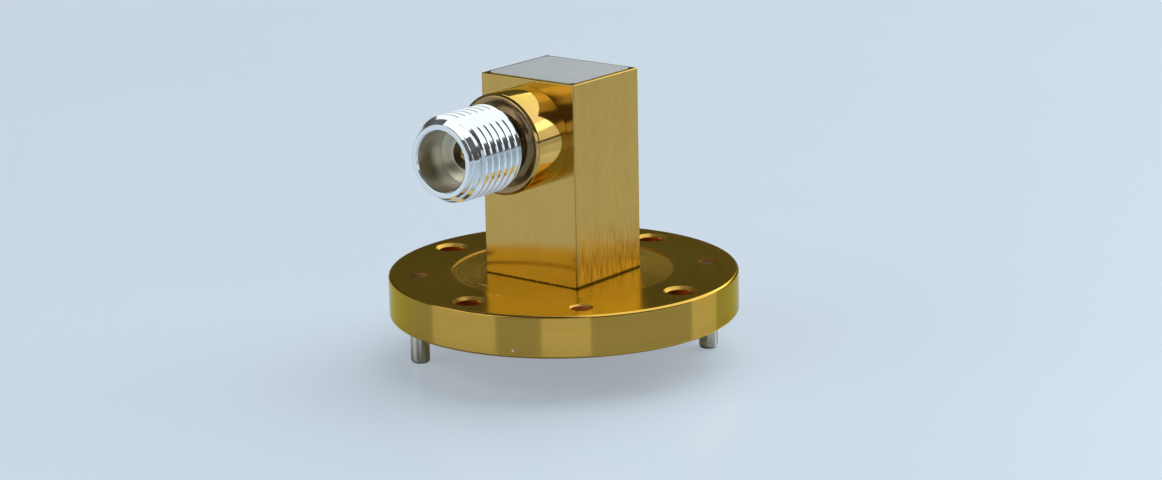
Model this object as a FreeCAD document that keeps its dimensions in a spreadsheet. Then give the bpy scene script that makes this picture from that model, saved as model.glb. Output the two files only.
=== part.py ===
import FreeCAD, Part
import os
import Sketcher

# Right-angle adapter from a rectangular waveguide flange to a threaded coaxial jack.
# Origin: the centre of the flange's mating face. +Z runs up the waveguide, away from the mating flange.
# The jack points along -Y. Millimetres.

# Driving dimensions, one row each: name and value.
SIZES = [
    # Round flange, turned from bar.
    ("flange_diameter", 28.575),
    ("flange_thickness", 3.45),
    ("flange_edge_break", 0.15),
    ("turned_recess_diameter", 18.2),
    ("turned_recess_depth", 0.1),
    ("screw_circle_diameter", 23.8125),
    ("screw_hole_diameter", 2.26),
    ("screw_countersink_diameter", 2.75),
    ("align_hole_diameter", 1.7),
    ("align_countersink_diameter", 1.95),
    ("dowel_diameter", 1.5625),
    ("dowel_press_gap", 0.005),
    ("dowel_projection", 3.9),
    ("dowel_tip_radius", 0.4),
    ("dowel_head_break", 0.15),
    ("dowel_head_setback", 0.2),
    ("dowel_relief_diameter", 1.2),
    ("dowel_relief_length", 0.55),
    ("dowel_relief_drop", 0.1),
    # Rectangular guide through the flange and the block.
    ("guide_width", 5.69),
    ("guide_height", 2.845),
    ("guide_corner_radius", 0.2),
    # Block that carries the guide, and the cap that closes its top.
    ("block_width", 9.4),
    ("block_depth", 8.4),
    ("block_height", 16.5),
    ("block_edge_break", 0.1),
    ("foot_seat_depth", 0.8),
    ("foot_seat_gap", 0.05),
    ("cap_margin", 0.35),
    ("cap_thickness", 0.4),
    ("cap_corner_radius", 0.6),
    ("cap_gap", 0.02),
    ("cap_rise", 0.04),
    ("short_distance", 2.3),
    # Coaxial jack, on an axis square to the block's front face.
    ("jack_height", 11.85),
    ("collar_diameter", 8.2),
    ("collar_length", 3.75),
    ("collar_edge_break", 0.2),
    ("collar_recess_diameter", 6.7),
    ("collar_recess_depth", 0.45),
    ("collar_spigot_diameter", 6.0),
    ("collar_spigot_length", 1.2),
    ("collar_ledge", 0.3),
    ("neck_diameter", 5.7),
    ("neck_length", 1.05),
    ("tail_diameter", 5.1),
    ("thread_diameter", 7.0),
    ("thread_length", 4.8),
    ("thread_end_break", 0.25),
    ("nose_length", 1.1),
    ("nose_face_diameter", 5.8),
    ("mouth_diameter", 4.77),
    ("mouth_depth", 2.9),
    ("mouth_edge_break", 0.13),
    ("line_diameter", 2.4),
    ("line_length", 2.0),
    ("sleeve_diameter", 3.8),
    ("bead_thickness", 1.0),
    ("turned_fit_gap", 0.015),
    # Centre conductor, from the mating end to the probe in the guide.
    ("contact_diameter", 1.042),
    ("contact_recess", 0.05),
    ("contact_bead_diameter", 0.72),
    ("contact_end_break", 0.06),
    ("socket_diameter", 0.54),
    ("socket_depth", 1.8),
    ("slot_width", 0.12),
    ("slot_length", 1.5),
    ("rear_socket_depth", 1.2),
    ("contact_rear", 0.6),
    ("probe_pin_diameter", 0.6),
    ("probe_pin_end_gap", 0.1),
    ("feed_bead_end_gap", 0.05),
    ("probe_reach", 1.6),
    ("probe_tip_diameter", 1.1),
    ("probe_tip_length", 0.8),
    ("probe_tip_floor", 0.2),
]

SLOT_CUTS = 2
SCREW_HOLES = 4
ALIGN_HOLES = 2
DOWEL_HOLES = 2

# Heights above the mating face.
FLANGE_TOP = "sizes.flange_thickness"
FOOT_SEAT = "(sizes.flange_thickness - sizes.foot_seat_depth)"
BLOCK_TOP = "(sizes.flange_thickness + sizes.block_height)"
CAP_SEAT = f"({BLOCK_TOP} - sizes.cap_thickness)"
JACK_AXIS = "(sizes.flange_thickness + sizes.jack_height)"
SHORT_FACE = f"({JACK_AXIS} + sizes.short_distance)"

# Stations along the jack's axis, counted outwards from the block's front face.
RECESS_FLOOR = "(sizes.collar_length - sizes.collar_recess_depth)"
THREAD_REAR = "(sizes.collar_length + sizes.neck_length)"
THREAD_FRONT = f"({THREAD_REAR} + sizes.thread_length)"
NOSE_FRONT = f"({THREAD_FRONT} + sizes.nose_length)"
MOUTH_FLOOR = f"({NOSE_FRONT} - sizes.mouth_depth)"
BEAD_FRONT = f"({MOUTH_FLOOR} - sizes.line_length)"
BEAD_REAR = f"({BEAD_FRONT} - sizes.bead_thickness)"
CONTACT_FRONT = f"({MOUTH_FLOOR} - sizes.contact_recess)"
REAR_SOCKET_FLOOR = "(sizes.contact_rear + sizes.rear_socket_depth)"
SPIGOT_END = "(-sizes.collar_spigot_length)"
GUIDE_WALL = "(sizes.guide_height / 2 - sizes.block_depth / 2)"
PROBE_END = f"({GUIDE_WALL} - sizes.probe_reach)"

# Radii on the jack's axis that two pieces share.
TAIL_BORE = "(sizes.tail_diameter / 2 + sizes.turned_fit_gap)"
SLEEVE_BORE = "(sizes.sleeve_diameter / 2 + sizes.turned_fit_gap)"
LINE_RADIUS = "sizes.line_diameter / 2"
PIN_BORE = "(sizes.probe_pin_diameter / 2 + sizes.turned_fit_gap)"

TO_FRONT = FreeCAD.Rotation(FreeCAD.Vector(1, 0, 0), 90)

doc = FreeCAD.newDocument("waveguide_adapter")


def fill_sheet():
    sheet = doc.addObject("Spreadsheet::Sheet", "sizes")
    for row, (name, value) in enumerate(SIZES, start=1):
        sheet.set(f"A{row}", name)
        sheet.set(f"B{row}", str(value))
        sheet.setAlias(f"B{row}", name)
    doc.recompute()
    return sheet


SHEET = fill_sheet()


def value_of(expression):
    return float(SHEET.evalExpression(str(expression)))


def new_body(label):
    body = doc.addObject("PartDesign::Body", label)
    body.Label = label
    return body


def on_jack_axis(body):
    # The body's own +Z becomes the jack's outward direction, from the block's front face.
    body.Placement = FreeCAD.Placement(FreeCAD.Vector(0, 0, 0), TO_FRONT)
    body.setExpression(".Placement.Base.y", "-sizes.block_depth / 2")
    body.setExpression(".Placement.Base.z", JACK_AXIS)


def new_sketch(body, role, name, height=None):
    sketch = body.newObject("Sketcher::SketchObject", name)
    plane = [item for item in body.Origin.OriginFeatures if item.Role == role][0]
    sketch.AttachmentSupport = [(plane, "")]
    sketch.MapMode = "FlatFace"
    if height is not None:
        sketch.setExpression(".AttachmentOffset.Base.z", height)
    return sketch


def fix_point(sketch, geometry, end, across, up):
    # Ties one point of the sketch to two expressions, measured from the sketch's origin.
    for kind, axis, expression in (("DistanceX", -2, across), ("DistanceY", -1, up)):
        if expression == "0":
            sketch.addConstraint(Sketcher.Constraint("PointOnObject", geometry, end, axis))
        else:
            number = sketch.addConstraint(
                Sketcher.Constraint(kind, -1, 1, geometry, end, value_of(expression)))
            sketch.setExpression(f"Constraints[{number}]", expression)


def outline(sketch, corners):
    # A closed outline through corners given as pairs of expressions.
    places = [FreeCAD.Vector(value_of(across), value_of(up), 0) for across, up in corners]
    count = len(places)
    for index in range(count):
        sketch.addGeometry(Part.LineSegment(places[index], places[(index + 1) % count]))
    for index in range(count):
        following = (index + 1) % count
        sketch.addConstraint(Sketcher.Constraint("Coincident", index, 2, following, 1))
    for index, (across, up) in enumerate(corners):
        fix_point(sketch, index, 1, across, up)


def rectangle(sketch, width, depth):
    half_width = f"({width}) / 2"
    half_depth = f"({depth}) / 2"
    corners = [(f"-({half_width})", f"-({half_depth})"), (half_width, f"-({half_depth})"),
               (half_width, half_depth), (f"-({half_width})", half_depth)]
    outline(sketch, corners)


def circle(sketch, across, up, radius):
    place = FreeCAD.Vector(value_of(across), value_of(up), 0)
    index = sketch.addGeometry(Part.Circle(place, FreeCAD.Vector(0, 0, 1), value_of(radius)))
    number = sketch.addConstraint(Sketcher.Constraint("Radius", index, value_of(radius)))
    sketch.setExpression(f"Constraints[{number}]", radius)
    if across == "0" and up == "0":
        sketch.addConstraint(Sketcher.Constraint("Coincident", index, 3, -1, 1))
    else:
        fix_point(sketch, index, 3, across, up)


def revolve(body, corners, name):
    # A turned form: radius across, station up.
    sketch = new_sketch(body, "XZ_Plane", name + "_profile")
    outline(sketch, corners)
    turned = body.newObject("PartDesign::Revolution", name)
    turned.Profile = sketch
    turned.ReferenceAxis = (sketch, ["V_Axis"])
    turned.Angle = 360
    sketch.Visibility = False
    doc.recompute()
    return turned


def pad(body, sketch, length, name):
    padded = body.newObject("PartDesign::Pad", name)
    padded.Profile = sketch
    padded.setExpression("Length", length)
    doc.recompute()
    return padded


def pocket(body, sketch, depth, name, through=False):
    before = body.Shape.Volume
    cut = body.newObject("PartDesign::Pocket", name)
    cut.Profile = sketch
    if through:
        cut.Type = "ThroughAll"
        cut.Midplane = True
    else:
        cut.setExpression("Length", depth)
    doc.recompute()
    if not cut.Shape.Volume < before:
        raise RuntimeError(f"{body.Label}: {name} removes nothing")
    return cut


def drill(body, sketch, diameter, name, countersink=None):
    # Through holes down from the sketch, with an optional countersink at the top.
    before = body.Shape.Volume
    hole = body.newObject("PartDesign::Hole", name)
    hole.Profile = sketch
    doc.recompute()
    hole.ThreadType = "None"
    hole.DepthType = "ThroughAll"
    hole.setExpression("Diameter", diameter)
    if countersink is not None:
        hole.HoleCutType = "Countersink"
        hole.HoleCutCountersinkAngle = 90
        hole.setExpression("HoleCutDiameter", countersink)
    doc.recompute()
    if not hole.Shape.Volume < before:
        raise RuntimeError(f"{body.Label}: {name} removes nothing")
    return hole


def repeat_round(body, feature, count, name, angle=360):
    pattern = body.newObject("PartDesign::PolarPattern", name)
    pattern.Originals = [feature]
    axis = [item for item in body.Origin.OriginFeatures if item.Role == "Z_Axis"][0]
    pattern.Axis = (axis, [""])
    pattern.Angle = angle
    pattern.Occurrences = count
    body.Tip = pattern
    doc.recompute()
    return pattern


def edges_where(feature, test):
    names = []
    for number, edge in enumerate(feature.Shape.Edges, start=1):
        if test(edge):
            names.append(f"Edge{number}")
    if not names:
        raise RuntimeError(f"{feature.Label}: no edge found")
    return names


def is_upright(edge):
    return len(edge.Vertexes) == 2 and abs(edge.tangentAt(edge.FirstParameter).z) > 0.999


def at_height(edge, height):
    box = edge.BoundBox
    return abs(box.ZMin - height) < 1e-4 and abs(box.ZMax - height) < 1e-4


def spans(edge, width, depth):
    # An upright edge at the corner of a centred rectangle of this width and depth.
    middle = edge.BoundBox.Center
    return abs(abs(middle.x) - width / 2) < 1e-4 and abs(abs(middle.y) - depth / 2) < 1e-4


def round_edges(body, feature, names, radius, label):
    fillet = body.newObject("PartDesign::Fillet", label)
    fillet.Base = (feature, names)
    fillet.setExpression("Radius", radius)
    doc.recompute()
    return fillet


def bevel_edges(body, feature, names, size, label):
    chamfer = body.newObject("PartDesign::Chamfer", label)
    chamfer.Base = (feature, names)
    chamfer.setExpression("Size", size)
    doc.recompute()
    return chamfer


def round_guide_corners(body, feature, clearance=0.0):
    width = value_of("sizes.guide_width") - 2 * clearance
    depth = value_of("sizes.guide_height") - 2 * clearance
    names = edges_where(feature, lambda edge: is_upright(edge) and spans(edge, width, depth))
    return round_edges(body, feature, names, "sizes.guide_corner_radius", "guide_corners")


def cut_guide(body, height):
    sketch = new_sketch(body, "XY_Plane", "guide_section", height)
    rectangle(sketch, "sizes.guide_width", "sizes.guide_height")
    cut = pocket(body, sketch, None, "guide_opening", through=True)
    return round_guide_corners(body, cut)


def holes_on_circle(body, angle, diameter, name):
    # One circle on the flange's bolt circle, at an angle from +X, on the flange's top face.
    sketch = new_sketch(body, "XY_Plane", name, FLANGE_TOP)
    radius = "sizes.screw_circle_diameter / 2"
    across = f"{radius} * cos({angle} deg)"
    up = "0" if angle == 0 else f"{radius} * sin({angle} deg)"
    circle(sketch, across, up, f"({diameter}) / 2")
    return sketch


def make_flange():
    body = new_body("flange")
    rim = "sizes.flange_diameter / 2"
    inner_rim = f"{rim} - sizes.flange_edge_break"
    recess = "sizes.turned_recess_diameter / 2"
    recess_floor = "sizes.flange_thickness - sizes.turned_recess_depth"
    revolve(body, [
        ("0", "0"),
        (inner_rim, "0"),
        (rim, "sizes.flange_edge_break"),
        (rim, "sizes.flange_thickness - sizes.flange_edge_break"),
        (inner_rim, FLANGE_TOP),
        (recess, FLANGE_TOP),
        (recess, recess_floor),
        ("0", recess_floor),
    ], "disc")
    seat = new_sketch(body, "XY_Plane", "foot_seat_outline", FLANGE_TOP)
    rectangle(seat, "sizes.block_width + 2 * sizes.foot_seat_gap",
              "sizes.block_depth + 2 * sizes.foot_seat_gap")
    pocket(body, seat, "sizes.foot_seat_depth", "foot_seat")
    cut_guide(body, FOOT_SEAT)
    screw = holes_on_circle(body, 0, "sizes.screw_hole_diameter", "screw_hole_place")
    tapped = drill(body, screw, "sizes.screw_hole_diameter", "screw_hole",
                   "sizes.screw_countersink_diameter")
    repeat_round(body, tapped, SCREW_HOLES, "screw_holes")
    align = holes_on_circle(body, -45, "sizes.align_hole_diameter", "align_hole_place")
    reamed = drill(body, align, "sizes.align_hole_diameter", "align_hole",
                   "sizes.align_countersink_diameter")
    repeat_round(body, reamed, ALIGN_HOLES, "align_holes")
    bore = "sizes.dowel_diameter + 2 * sizes.dowel_press_gap"
    dowel = holes_on_circle(body, 45, bore, "dowel_hole_place")
    pressed = drill(body, dowel, bore, "dowel_hole")
    repeat_round(body, pressed, DOWEL_HOLES, "dowel_holes")
    return body


def make_dowel(label, side):
    # A ground pin pressed into the flange: side is 1 for the right one, -1 for the left one.
    body = new_body(label)
    radius = "sizes.dowel_diameter / 2"
    tip = "-sizes.dowel_projection"
    head = "sizes.flange_thickness - sizes.dowel_head_setback"
    relief = "sizes.dowel_relief_diameter / 2"
    relief_low = "-sizes.dowel_relief_drop"
    relief_high = "sizes.dowel_relief_length - sizes.dowel_relief_drop"
    # A relief at the mating face parts the free length from the pressed one.
    pin = revolve(body, [
        ("0", tip),
        (radius, tip),
        (radius, relief_low),
        (relief, relief_low),
        (relief, relief_high),
        (radius, relief_high),
        (radius, head),
        ("0", head),
    ], "shank")
    low = edges_where(pin, lambda edge: at_height(edge, value_of(tip)) and edge.Closed)
    tip_round = round_edges(body, pin, low, "sizes.dowel_tip_radius", "tip_round")
    high = edges_where(tip_round, lambda edge: at_height(edge, value_of(head)) and edge.Closed)
    bevel_edges(body, tip_round, high, "sizes.dowel_head_break", "head_bevel")
    place = f"{side} * sizes.screw_circle_diameter / 2 * cos(45 deg)"
    body.setExpression(".Placement.Base.x", place)
    body.setExpression(".Placement.Base.y", place)
    return body


def make_block():
    body = new_body("waveguide_block")
    section = new_sketch(body, "XY_Plane", "block_section", FOOT_SEAT)
    rectangle(section, "sizes.block_width", "sizes.block_depth")
    raised = pad(body, section, f"{BLOCK_TOP} - {FOOT_SEAT}", "block")
    top = value_of(BLOCK_TOP)
    names = edges_where(raised, lambda edge: is_upright(edge) or at_height(edge, top))
    bevel_edges(body, raised, names, "sizes.block_edge_break", "edge_bevels")
    cut_guide(body, FOOT_SEAT)
    rebate = new_sketch(body, "XY_Plane", "cap_seat_outline", BLOCK_TOP)
    rectangle(rebate, "sizes.block_width - 2 * sizes.cap_margin",
              "sizes.block_depth - 2 * sizes.cap_margin")
    cut = pocket(body, rebate, "sizes.cap_thickness", "cap_seat")
    width = value_of("sizes.block_width - 2 * sizes.cap_margin")
    depth = value_of("sizes.block_depth - 2 * sizes.cap_margin")
    corners = edges_where(cut, lambda edge: is_upright(edge) and spans(edge, width, depth))
    round_edges(body, cut, corners, "sizes.cap_corner_radius", "cap_seat_corners")
    # The two bores start on the front face, so their sketches lie in it.
    face = "sizes.block_depth / 2"
    spigot = new_sketch(body, "XZ_Plane", "spigot_bore_outline", face)
    circle(spigot, "0", JACK_AXIS, "sizes.collar_spigot_diameter / 2 + sizes.turned_fit_gap")
    pocket(body, spigot, "sizes.collar_spigot_length", "spigot_bore")
    feed = new_sketch(body, "XZ_Plane", "feed_bore_outline", face)
    circle(feed, "0", JACK_AXIS, LINE_RADIUS)
    pocket(body, feed, "sizes.block_depth / 2", "feed_bore")
    return body


def make_end_cap():
    # The plate lies in the block's top, and its plug closes the guide above the probe.
    body = new_body("end_cap")
    width = "sizes.block_width - 2 * sizes.cap_margin - 2 * sizes.cap_gap"
    depth = "sizes.block_depth - 2 * sizes.cap_margin - 2 * sizes.cap_gap"
    section = new_sketch(body, "XY_Plane", "plate_outline", CAP_SEAT)
    rectangle(section, width, depth)
    plate = pad(body, section, "sizes.cap_thickness + sizes.cap_rise", "plate")
    corners = edges_where(plate, is_upright)
    round_edges(body, plate, corners, "sizes.cap_corner_radius - sizes.cap_gap", "plate_corners")
    plug = new_sketch(body, "XY_Plane", "plug_outline", SHORT_FACE)
    rectangle(plug, "sizes.guide_width - 2 * sizes.cap_gap",
              "sizes.guide_height - 2 * sizes.cap_gap")
    stem = pad(body, plug, f"{CAP_SEAT} - {SHORT_FACE}", "short_plug")
    round_guide_corners(body, stem, value_of("sizes.cap_gap"))
    return body


def make_collar():
    body = new_body("connector_collar")
    outside = "sizes.collar_diameter / 2"
    spigot = "sizes.collar_spigot_diameter / 2"
    recess = "sizes.collar_recess_diameter / 2"
    front = "sizes.collar_length"
    revolve(body, [
        (LINE_RADIUS, SPIGOT_END),
        (spigot, SPIGOT_END),
        (spigot, "0"),
        (outside, "0"),
        (outside, f"{front} - sizes.collar_edge_break"),
        (f"{outside} - sizes.collar_edge_break", front),
        (recess, front),
        (recess, RECESS_FLOOR),
        (TAIL_BORE, RECESS_FLOOR),
        (TAIL_BORE, "sizes.collar_ledge"),
        (LINE_RADIUS, "sizes.collar_ledge"),
    ], "collar")
    on_jack_axis(body)
    return body


def make_jack_shell():
    body = new_body("jack_shell")
    tail = "sizes.tail_diameter / 2"
    neck = "sizes.neck_diameter / 2"
    major = "sizes.thread_diameter / 2"
    chamfered = f"{major} - sizes.thread_end_break"
    mouth = "sizes.mouth_diameter / 2"
    revolve(body, [
        (SLEEVE_BORE, "sizes.collar_ledge"),
        (tail, "sizes.collar_ledge"),
        (tail, RECESS_FLOOR),
        (neck, RECESS_FLOOR),
        (neck, THREAD_REAR),
        (chamfered, THREAD_REAR),
        (major, f"{THREAD_REAR} + sizes.thread_end_break"),
        (major, THREAD_FRONT),
        ("sizes.nose_face_diameter / 2", NOSE_FRONT),
        (f"{mouth} + sizes.mouth_edge_break", NOSE_FRONT),
        (mouth, f"{NOSE_FRONT} - sizes.mouth_edge_break"),
        (mouth, MOUTH_FLOOR),
        (LINE_RADIUS, MOUTH_FLOOR),
        (LINE_RADIUS, BEAD_FRONT),
        (SLEEVE_BORE, BEAD_FRONT),
    ], "shell")
    on_jack_axis(body)
    return body


def make_line_sleeve():
    # The outer conductor behind the bead, held between the bead and the collar's ledge.
    body = new_body("line_sleeve")
    outside = "sizes.sleeve_diameter / 2"
    revolve(body, [
        (LINE_RADIUS, "sizes.collar_ledge"),
        (outside, "sizes.collar_ledge"),
        (outside, BEAD_REAR),
        (LINE_RADIUS, BEAD_REAR),
    ], "sleeve")
    on_jack_axis(body)
    return body


def make_support_bead():
    body = new_body("support_bead")
    outside = "sizes.sleeve_diameter / 2"
    inside = "sizes.contact_bead_diameter / 2 + sizes.turned_fit_gap"
    revolve(body, [
        (inside, BEAD_REAR),
        (outside, BEAD_REAR),
        (outside, BEAD_FRONT),
        (inside, BEAD_FRONT),
    ], "bead")
    on_jack_axis(body)
    return body


def make_centre_contact():
    body = new_body("centre_contact")
    outside = "sizes.contact_diameter / 2"
    groove = "sizes.contact_bead_diameter / 2"
    socket = "sizes.socket_diameter / 2"
    rear = "sizes.contact_rear"
    revolve(body, [
        (PIN_BORE, rear),
        (outside, rear),
        (outside, BEAD_REAR),
        (groove, BEAD_REAR),
        (groove, BEAD_FRONT),
        (outside, BEAD_FRONT),
        (outside, f"{CONTACT_FRONT} - sizes.contact_end_break"),
        (f"{outside} - sizes.contact_end_break", CONTACT_FRONT),
        (f"{socket} + sizes.contact_end_break", CONTACT_FRONT),
        (socket, f"{CONTACT_FRONT} - sizes.contact_end_break"),
        (socket, f"{CONTACT_FRONT} - sizes.socket_depth"),
        ("0", f"{CONTACT_FRONT} - sizes.socket_depth"),
        ("0", REAR_SOCKET_FLOOR),
        (PIN_BORE, REAR_SOCKET_FLOOR),
    ], "contact")
    slot = new_sketch(body, "XY_Plane", "slot_outline", CONTACT_FRONT)
    rectangle(slot, "sizes.contact_diameter * 2", "sizes.slot_width")
    cut = pocket(body, slot, "sizes.slot_length", "slot")
    repeat_round(body, cut, SLOT_CUTS, "slots", 180)
    on_jack_axis(body)
    return body


def make_feed_bead():
    # The insulator in the block's wall, short of the guide and of the collar's spigot.
    body = new_body("feed_bead")
    outside = f"{LINE_RADIUS} - sizes.turned_fit_gap"
    inner_end = f"{GUIDE_WALL} + sizes.feed_bead_end_gap"
    outer_end = f"{SPIGOT_END} - sizes.feed_bead_end_gap"
    revolve(body, [
        (PIN_BORE, inner_end),
        (outside, inner_end),
        (outside, outer_end),
        (PIN_BORE, outer_end),
    ], "bead")
    on_jack_axis(body)
    return body


def make_probe_pin():
    body = new_body("probe_pin")
    radius = "sizes.probe_pin_diameter / 2"
    inner_end = f"{PROBE_END} + sizes.probe_tip_floor"
    outer_end = f"{REAR_SOCKET_FLOOR} - sizes.probe_pin_end_gap"
    revolve(body, [("0", inner_end), (radius, inner_end), (radius, outer_end), ("0", outer_end)],
            "pin")
    on_jack_axis(body)
    return body


def make_probe_tip():
    # The cup on the pin's end, in the middle of the guide.
    body = new_body("probe_tip")
    outside = "sizes.probe_tip_diameter / 2"
    floor = f"{PROBE_END} + sizes.probe_tip_floor"
    rim = f"{PROBE_END} + sizes.probe_tip_length"
    revolve(body, [
        ("0", PROBE_END),
        (outside, PROBE_END),
        (outside, rim),
        (PIN_BORE, rim),
        (PIN_BORE, floor),
        ("0", floor),
    ], "tip")
    on_jack_axis(body)
    return body


def check_document():
    for item in doc.Objects:
        if "Invalid" in item.State or "Error" in item.State:
            raise RuntimeError(f"{item.Label}: {item.State}")


def write_parts(bodies):
    os.makedirs("parts", exist_ok=True)
    for body in bodies:
        shape = body.Shape
        if shape.isNull() or not shape.isValid() or len(shape.Solids) != 1:
            raise RuntimeError(f"{body.Label}: not one valid solid")
    for body in bodies:
        body.Shape.exportStep(f"parts/{body.Label}.step")
        print(f"{body.Label}: {body.Shape.Volume:.3f} mm3")


parts = [
    make_flange(),
    make_dowel("dowel_pin_left", -1),
    make_dowel("dowel_pin_right", 1),
    make_block(),
    make_end_cap(),
    make_collar(),
    make_jack_shell(),
    make_line_sleeve(),
    make_support_bead(),
    make_centre_contact(),
    make_feed_bead(),
    make_probe_pin(),
    make_probe_tip(),
]
doc.recompute()
check_document()
write_parts(parts)
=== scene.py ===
import math

import bmesh
import bpy
from bpy.props import FloatProperty, FloatVectorProperty, IntProperty, PointerProperty
from bpy.types import Operator, Panel, PropertyGroup
from mathutils import Matrix, Vector


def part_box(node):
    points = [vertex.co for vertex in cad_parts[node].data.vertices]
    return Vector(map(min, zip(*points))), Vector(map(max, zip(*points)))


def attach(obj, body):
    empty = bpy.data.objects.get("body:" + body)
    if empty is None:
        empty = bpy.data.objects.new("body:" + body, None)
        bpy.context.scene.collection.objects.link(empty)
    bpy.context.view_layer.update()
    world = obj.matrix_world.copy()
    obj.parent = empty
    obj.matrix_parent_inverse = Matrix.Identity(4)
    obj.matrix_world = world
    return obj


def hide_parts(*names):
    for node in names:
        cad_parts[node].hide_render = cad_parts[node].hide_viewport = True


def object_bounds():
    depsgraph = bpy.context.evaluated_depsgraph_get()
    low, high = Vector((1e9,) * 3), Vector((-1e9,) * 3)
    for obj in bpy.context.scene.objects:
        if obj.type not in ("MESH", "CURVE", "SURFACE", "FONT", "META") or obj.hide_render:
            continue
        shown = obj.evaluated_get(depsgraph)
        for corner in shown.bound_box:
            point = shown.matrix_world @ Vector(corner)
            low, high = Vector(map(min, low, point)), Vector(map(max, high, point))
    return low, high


bl_info = {
    "name": "Waveguide adapter",
    "version": (1, 0, 0),
    "blender": (4, 5, 0),
    "location": "3D View > Sidebar > Adapter",
    "description": "Dresses a waveguide adapter: turned flange, polished block and threaded jack",
    "category": "Object",
}

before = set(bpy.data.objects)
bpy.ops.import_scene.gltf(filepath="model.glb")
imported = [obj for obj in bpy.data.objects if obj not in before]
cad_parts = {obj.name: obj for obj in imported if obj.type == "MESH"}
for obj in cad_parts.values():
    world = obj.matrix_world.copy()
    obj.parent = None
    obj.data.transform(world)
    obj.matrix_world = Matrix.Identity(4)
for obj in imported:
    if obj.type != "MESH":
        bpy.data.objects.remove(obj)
CAD_LOW, CAD_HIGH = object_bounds()
FLANGE_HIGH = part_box("flange")[1]
BLOCK_LOW, BLOCK_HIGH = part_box("waveguide_block")
COLLAR_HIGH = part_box("connector_collar")[1]
JACK_LOW, JACK_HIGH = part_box("jack_shell")
PIN_LOW, PIN_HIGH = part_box("dowel_pin_right")

JACK_AXIS = (JACK_LOW.z + JACK_HIGH.z) / 2
BLOCK_FRONT = BLOCK_LOW.y
TURN = 2 * math.pi
# A radius under the first is a point on the axis. Points nearer than the others are one.
ON_AXIS = 1e-9
WELD = 1e-7
THREAD_WELD = 1e-6
# How far a cutter reaches past the face that it cuts.
CUT_MARGIN = 0.001
# Radii of the small corners that turning and polishing leave.
CRISP, FINE, SMALL, SOFT = 0.00002, 0.00003, 0.00004, 0.00006
# Facets around holes and pins, and the angle past which an edge stays sharp.
HOLE_STEPS = 64
SHARP_ANGLE = math.radians(30.0)
# Depth of the finest marks in a surface.
MARK_DEPTH = 0.00001
# Centre, reach and turn of two nicks and a scratch in the flange's plating.
FLANGE_MARKS = (((0.0007, -0.00926, FLANGE_HIGH.z), (0.00013, 0.00024, 0.0001), 0.0),
                ((0.0054, -0.01323, 0.0006), (0.00013, 0.00013, 0.0001), 0.0),
                ((-0.00244, -0.00735, FLANGE_HIGH.z), (0.00104, 0.0001, 0.0002), -0.209))


def length(name, description, default, least=0.0):
    return FloatProperty(name=name, description=description, default=default, min=least,
                         precision=6, subtype="DISTANCE", unit="LENGTH")


def angle(name, description, degrees):
    return FloatProperty(name=name, description=description, default=math.radians(degrees),
                         subtype="ANGLE", unit="ROTATION")


def count(name, description, default):
    return IntProperty(name=name, description=description, default=default, min=6)


def tint(name, description, default):
    return FloatVectorProperty(name=name, description=description, default=default, size=3,
                               min=0.0, max=1.0, subtype="COLOR")


def share(name, description, default):
    return FloatProperty(name=name, description=description, default=default, min=0.0, max=1.0,
                         subtype="FACTOR")


def glow(name, description, default):
    return FloatProperty(name=name, description=description, default=default, min=0.0)


class FlangeSizes(PropertyGroup):
    radius: length("Radius", "Outer radius of the round flange", FLANGE_HIGH.x)
    thickness: length("Thickness", "Height of the flange's top over its mating face", FLANGE_HIGH.z)
    edge_break: length("Edge break", "Size of the small bevel on both rims", 0.00015)
    recess_radius: length("Recess radius", "Radius of the shallow turned recess", 0.0091)
    recess_depth: length("Recess depth", "Depth of the shallow turned recess", 0.0001)
    recess_slope: length("Recess slope", "How far the recess's wall leans out", 0.00003)
    hole_circle: length("Hole circle", "Radius of the circle that the holes lie on", 0.01190625)
    screw_hole: length("Screw hole", "Radius of the tapped holes", 0.00113)
    screw_sink: length("Screw countersink", "Radius of the tapped holes' countersinks", 0.001375)
    screw_major: length("Screw thread", "Radius at the bottom of the tapped holes' thread", 0.00142)
    screw_pitch: length("Screw pitch", "Pitch of the tapped holes' thread", 0.000635)
    thread_room: length("Thread room", "Room left behind that thread", 0.00003)
    thread_gap: length("Thread gap", "Gap between the thread's ring and its room", 0.00001)
    lip_low: length("Lower lip", "Height of the plain lip under the thread", 0.00005)
    lip_high: length("Upper lip", "Height of the plain lip over the thread", 0.00002)
    align_hole: length("Alignment hole", "Radius of the alignment holes", 0.00085)
    align_sink: length("Alignment countersink", "Radius of their countersinks", 0.000975)
    guide_width: length("Guide width", "Broad side of the guide's opening", 0.00569)
    guide_height: length("Guide height", "Narrow side of the guide's opening", 0.002845)
    guide_corner: length("Guide corner", "Radius of the guide's corners", 0.0002)
    seat_gap: length("Seat gap", "Gap between the block's foot and its seat", 0.00005)
    seat_depth: length("Seat depth", "Depth of the block's seat in the flange", 0.0008)
    seat_corner: length("Seat corner", "Radius of that seat's corners", 0.0001)
    steps: count("Steps", "Facets around the flange", 256)
    thread_steps: count("Thread steps", "Facets around the holes' thread", 48)
    thread_rows: count("Thread rows", "Rows of faces in one turn of that thread", 12)


class DowelSizes(PropertyGroup):
    nose_round: length("Nose round", "Radius of the pins' lower end", 0.0004)
    top_round: length("Top round", "Radius of the pins' upper end", 0.00015)
    relief_radius: length("Relief radius", "Radius of the pins in their relief", 0.0006)
    relief_below: length("Relief below", "How far the relief shows under the flange", 0.0001)
    relief_above: length("Relief above", "How far the relief reaches into the flange", 0.00045)


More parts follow.
